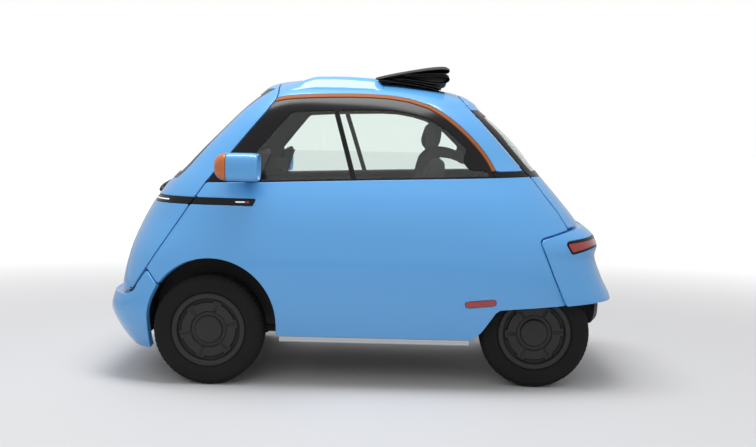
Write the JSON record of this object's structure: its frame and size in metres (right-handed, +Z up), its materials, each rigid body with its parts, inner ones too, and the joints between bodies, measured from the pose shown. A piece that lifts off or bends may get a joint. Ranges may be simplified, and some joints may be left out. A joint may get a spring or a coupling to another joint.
{
  "type": "two-seat electric microcar",
  "caption": "Rounded two-seat electric microcar with a front-opening door, tailgate, folding fabric roof, steered front wheels and narrow rear track.",
  "frame": {"origin": "on the ground below the middle of the body's length, on its centre plane", "axes": "+X forwards, +Y to the car's left, +Z up"},
  "size_m": [2.5195, 1.64, 1.577],
  "materials": {
    "body_paint": "sky blue gloss paint",
    "accent_orange": "orange gloss trim",
    "black_trim": "grained black plastic",
    "black_gloss": "gloss black plastic",
    "glazing": "clear tinted safety glass",
    "lamp_red": "red lamp lens",
    "lamp_clear": "clear lamp lens",
    "cloth_dark": "dark grey woven seat cloth",
    "roof_cloth": "black roof fabric",
    "webbing": "black belt webbing and guides",
    "steel_dark": "dark coated steel",
    "aluminium_cast": "cast aluminium housing",
    "sill_metal": "brushed aluminium",
    "rim_black": "satin black wheel paint",
    "tyre_rubber": "black tyre rubber"
  },
  "bodies": {
    "body": {"floor_pan": "black_trim", "side_panel_left": "body_paint", "side_panel_right": "body_paint", "roof_panel": "body_paint", "roof_fabric": "roof_cloth", "roof_strips": "accent_orange", "window_frames": "black_gloss", "side_windows": "glazing", "front_bumper": "body_paint", "rear_bumper": "body_paint", "tail_lamps": "lamp_red", "side_reflectors": "lamp_red", "side_light_strips": "black_gloss", "mirror_pods": "body_paint", "headlamps": "lamp_clear", "pod_arms": "black_trim", "arch_liners": "black_trim", "rear_valance": "black_trim", "sill_strips": "sill_metal", "seat_base": "black_trim", "seat_cushion": "cloth_dark", "seat_back": "cloth_dark", "headrests": "cloth_dark", "seat_belts": "webbing", "steering_column": "steel_dark", "pedals": "steel_dark", "motor_block": "aluminium_cast", "front_suspension": "steel_dark", "rear_axle": "steel_dark", "hinge_pins": "steel_dark"},
    "steering_wheel": {"steering_wheel": "black_trim"},
    "knuckle_left": {"knuckle_left": "steel_dark"},
    "knuckle_right": {"knuckle_right": "steel_dark"},
    "wheel_front_left": {"rim_front_left": "rim_black", "tyre_front_left": "tyre_rubber"},
    "wheel_front_right": {"rim_front_right": "rim_black", "tyre_front_right": "tyre_rubber"},
    "wheel_rear_left": {"rim_rear_left": "rim_black", "tyre_rear_left": "tyre_rubber"},
    "wheel_rear_right": {"rim_rear_right": "rim_black", "tyre_rear_right": "tyre_rubber"},
    "front_door": {"front_door": "body_paint", "windscreen": "glazing", "wiper": "black_trim", "door_light_strip": "black_gloss", "door_trim": "black_trim", "door_hinge": "steel_dark"},
    "tailgate": {"tailgate": "body_paint", "rear_window": "glazing", "tailgate_hinges": "steel_dark"}
  },
  "joints": [
    {"name": "front_door_hinge", "type": "hinge", "parent": "body", "child": "front_door", "pos_m": [1.085, 0.62, 0.4], "axis": [0, 0, 1], "range_deg": [0, 75]},
    {"name": "tailgate_hinge", "type": "hinge", "parent": "body", "child": "tailgate", "pos_m": [-0.44, 0, 1.412], "axis": [0, 1, 0], "range_deg": [0, 75]},
    {"name": "steer_left", "type": "hinge", "parent": "body", "child": "knuckle_left", "pos_m": [0.711, 0.559, 0.2665], "axis": [0, 0, 1], "range_deg": [-30, 30]},
    {"name": "steer_right", "type": "hinge", "parent": "body", "child": "knuckle_right", "pos_m": [0.711, -0.559, 0.2665], "axis": [0, 0, 1], "range_deg": [-30, 30]},
    {"name": "steering_wheel_turn", "type": "hinge", "parent": "body", "child": "steering_wheel", "pos_m": [0.33, 0.29, 0.8], "axis": [-0.652, 0, 0.7582], "range_deg": [-420, 420]},
    {"name": "wheel_front_left_spin", "type": "hinge", "parent": "knuckle_left", "child": "wheel_front_left", "pos_m": [0.711, 0.625, 0.2665], "axis": [0, 1, 0], "continuous": true},
    {"name": "wheel_front_right_spin", "type": "hinge", "parent": "knuckle_right", "child": "wheel_front_right", "pos_m": [0.711, -0.625, 0.2665], "axis": [0, 1, 0], "continuous": true},
    {"name": "wheel_rear_left_spin", "type": "hinge", "parent": "body", "child": "wheel_rear_left", "pos_m": [-0.862, 0.515, 0.2665], "axis": [0, 1, 0], "continuous": true},
    {"name": "wheel_rear_right_spin", "type": "hinge", "parent": "body", "child": "wheel_rear_right", "pos_m": [-0.862, -0.515, 0.2665], "axis": [0, 1, 0], "continuous": true}
  ],
  "couplings": [
    {"joint": "steer_right", "follows": "steer_left", "ratio": 1},
    {"joint": "steering_wheel_turn", "follows": "steer_left", "ratio": 14}
  ]
}
